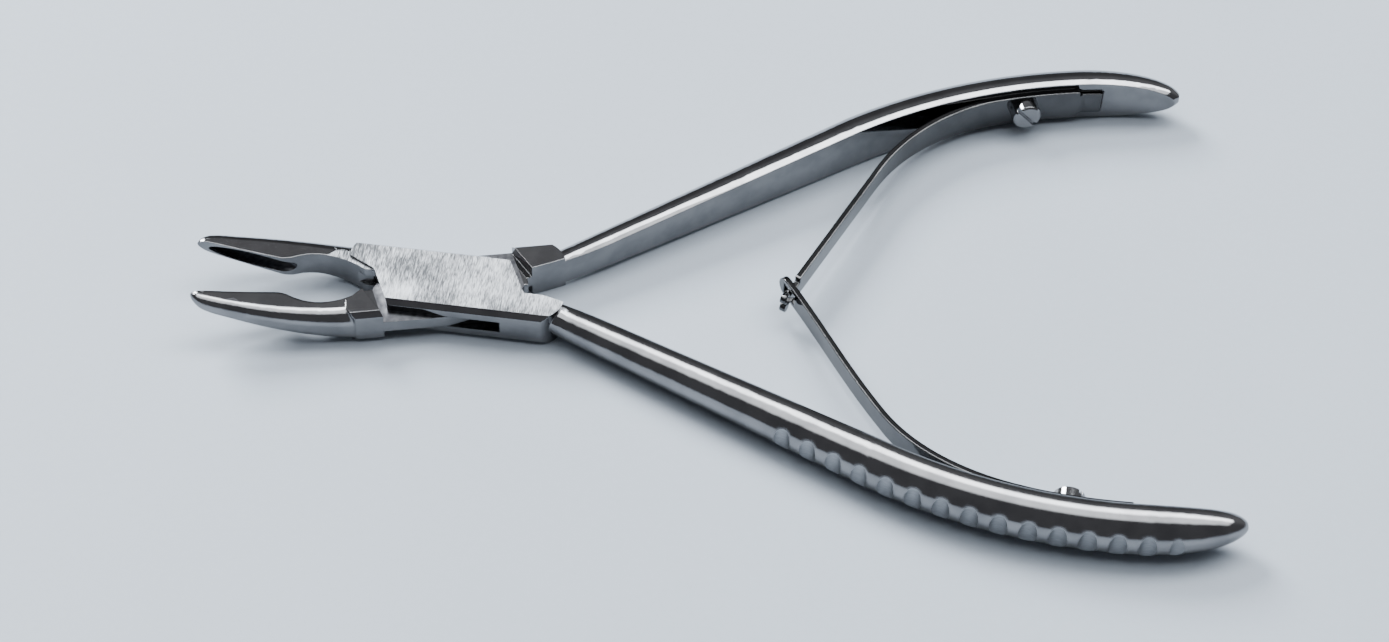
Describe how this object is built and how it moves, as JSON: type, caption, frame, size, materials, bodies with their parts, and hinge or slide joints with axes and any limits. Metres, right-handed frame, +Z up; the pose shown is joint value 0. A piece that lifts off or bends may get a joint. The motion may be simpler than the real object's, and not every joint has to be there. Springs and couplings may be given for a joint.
{
  "type": "bone rongeur",
  "caption": "Small bone rongeur with curved cupped jaws, a box joint, scalloped handles and two hooked leaf springs that hold them open.",
  "frame": {"origin": "where the pivot's axis meets the table under the box joint", "axes": "+X from the jaws to the handle ends, +Y from the lower handle to the upper one, +Z up along the pivot's axis"},
  "size_m": [0.1389, 0.085, 0.0075],
  "materials": {
    "forged_steel": "polished, satin on the box",
    "spring_steel": "polished",
    "screw_steel": "polished"
  },
  "bodies": {
    "outer_half_body": {"outer_half": "forged_steel", "pivot_pin": "forged_steel", "lower_screw": "screw_steel"},
    "inner_half_body": {"inner_half": "forged_steel", "upper_screw": "screw_steel"},
    "upper_leaf_body": {"upper_leaf": "spring_steel"},
    "lower_leaf_body": {"lower_leaf": "spring_steel"}
  },
  "joints": [
    {"name": "box_joint", "type": "hinge", "parent": "outer_half_body", "child": "inner_half_body", "pos_m": [0, 0, 0.0028], "axis": [0, 0, 1], "range_deg": [-15, 0], "stiffness_Nm_per_rad": 1, "springref_deg": 6.88},
    {"name": "upper_leaf_bend", "type": "hinge", "parent": "inner_half_body", "child": "upper_leaf_body", "pos_m": [0.07813, 0.0353, 0.0036], "axis": [0, 0, 1], "range_deg": [-9.6, 0], "deforming": ["upper_leaf"]},
    {"name": "lower_leaf_bend", "type": "hinge", "parent": "outer_half_body", "child": "lower_leaf_body", "pos_m": [0.07813, -0.0353, 0.0036], "axis": [0, 0, 1], "range_deg": [0, 9.6], "deforming": ["lower_leaf"]}
  ],
  "couplings": [
    {"joint": "upper_leaf_bend", "follows": "box_joint", "ratio": 0.6168},
    {"joint": "lower_leaf_bend", "follows": "box_joint", "ratio": -0.6168}
  ]
}
